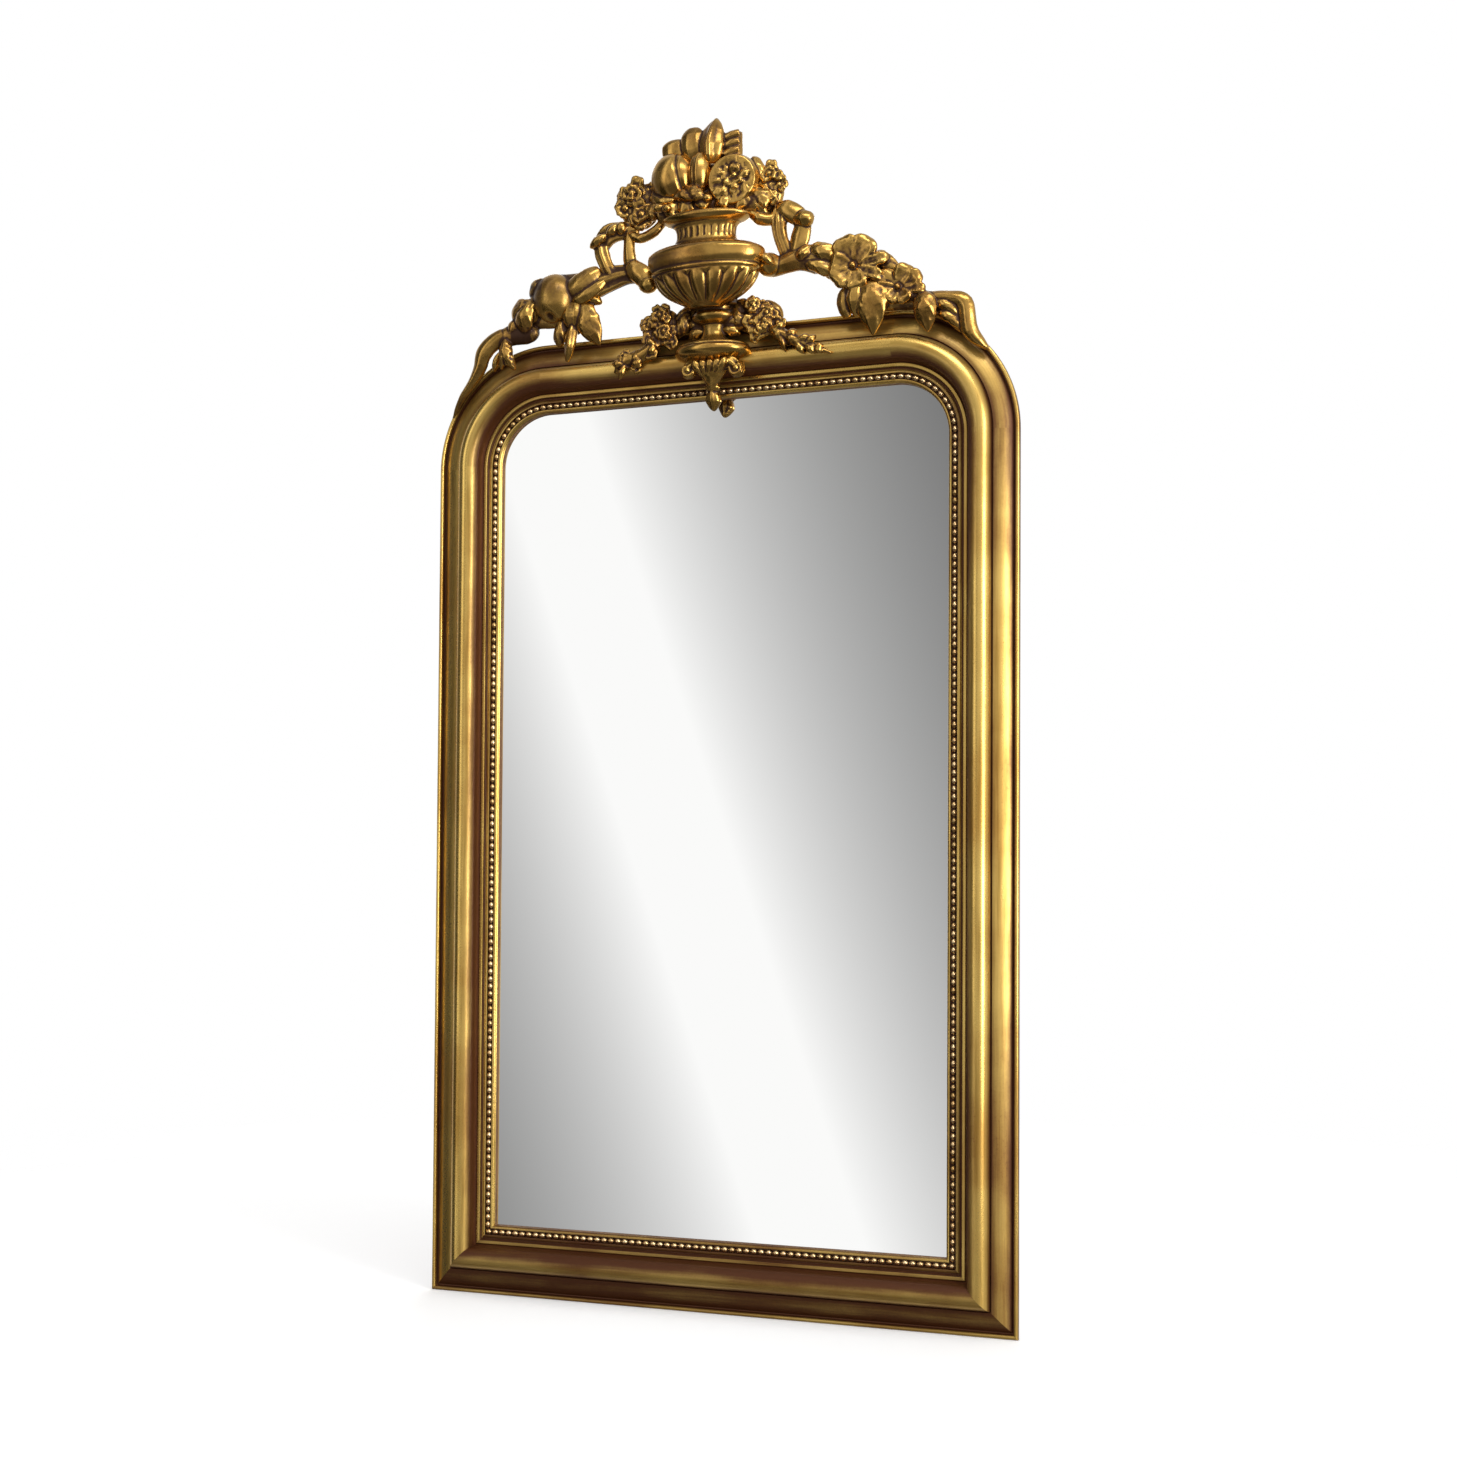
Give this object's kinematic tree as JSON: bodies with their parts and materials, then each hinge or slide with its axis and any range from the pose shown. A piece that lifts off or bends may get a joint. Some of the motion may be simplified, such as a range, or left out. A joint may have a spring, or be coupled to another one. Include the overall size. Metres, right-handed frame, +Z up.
{
  "type": "trumeau mirror",
  "caption": "Gilt overmantel mirror with round upper corners, a pearl border and a pierced crest of an urn with fruit and flower garlands.",
  "frame": {"origin": "on the wall plane, at the middle of the backboards' rear face", "axes": "+Z up along the height, +X to the right seen from the front, the looking side faces -Y and the back faces +Y"},
  "size_m": [0.73, 0.0993, 1.3933],
  "materials": {
    "frame_gilding": "antique gold gilding on gesso over softwood, burnished on the high parts and brown in the hollows",
    "crest_gilding": "antique gold gilding on moulded composition ornament, rubbed bright on the high parts",
    "pearl_gilding": "pale gold on small round composition pearls",
    "silvered_glass": "silvered plate glass, polished",
    "softwood": "bare planed pine, darkened with age",
    "hardwood": "bare beech",
    "nail_steel": "dull dark steel",
    "hanger_steel": "zinc-grey steel"
  },
  "bodies": {
    "frame": {"stile_left": "frame_gilding", "stile_right": "frame_gilding", "rail_top": "frame_gilding", "rail_bottom": "frame_gilding", "corner_block_left": "frame_gilding", "corner_block_right": "frame_gilding", "urn_body": "crest_gilding", "urn_foot": "crest_gilding", "console_bracket": "crest_gilding", "pendant_drop": "crest_gilding", "fruit_peach": "crest_gilding", "fruit_pomegranate": "crest_gilding", "fruit_pears": "crest_gilding", "bouquet_leaves": "crest_gilding", "flowers_left": "crest_gilding", "flowers_right": "crest_gilding", "ribbon_left": "crest_gilding", "apple_left": "crest_gilding", "hanging_leaves_left": "crest_gilding", "branch_left": "crest_gilding", "straps_right": "crest_gilding", "lily_large": "crest_gilding", "hanging_leaves_right": "crest_gilding", "scroll_right": "crest_gilding", "garland_low_left": "crest_gilding", "garland_low_right": "crest_gilding", "pearl_strip_left": "pearl_gilding", "pearl_strip_right": "pearl_gilding", "pearl_strip_bottom": "pearl_gilding", "pearl_strip_top": "pearl_gilding", "mirror_plate": "silvered_glass", "glue_block_left": "softwood", "glue_block_right": "softwood", "glue_block_bottom": "softwood", "glue_block_top": "softwood", "backboard_lower": "softwood", "backboard_middle": "softwood", "backboard_upper": "softwood", "crest_strut": "softwood", "mitre_key_left": "hardwood", "mitre_key_right": "hardwood", "corner_dowel_left_side": "hardwood", "corner_dowel_left_top": "hardwood", "corner_dowel_right_side": "hardwood", "corner_dowel_right_top": "hardwood", "board_nail_lower_left": "nail_steel", "board_nail_lower_right": "nail_steel", "board_nail_middle_left": "nail_steel", "board_nail_middle_right": "nail_steel", "board_nail_upper_left": "nail_steel", "board_nail_upper_right": "nail_steel", "strut_screw": "nail_steel", "hanger_strap_left": "hanger_steel", "hanger_strap_right": "hanger_steel", "hanger_screw_left_upper": "hanger_steel", "hanger_screw_left_lower": "hanger_steel", "hanger_screw_right_upper": "hanger_steel", "hanger_screw_right_lower": "hanger_steel"},
    "ring_left": {"hanger_ring_left": "hanger_steel"},
    "ring_right": {"hanger_ring_right": "hanger_steel"}
  },
  "joints": [
    {"name": "ring_left_swing", "type": "hinge", "parent": "frame", "child": "ring_left", "pos_m": [-0.3305, -0.0035, 0.276], "axis": [1, 0, 0], "range_deg": [0, 180]},
    {"name": "ring_right_swing", "type": "hinge", "parent": "frame", "child": "ring_right", "pos_m": [0.3305, -0.0035, 0.276], "axis": [1, 0, 0], "range_deg": [0, 180]}
  ]
}
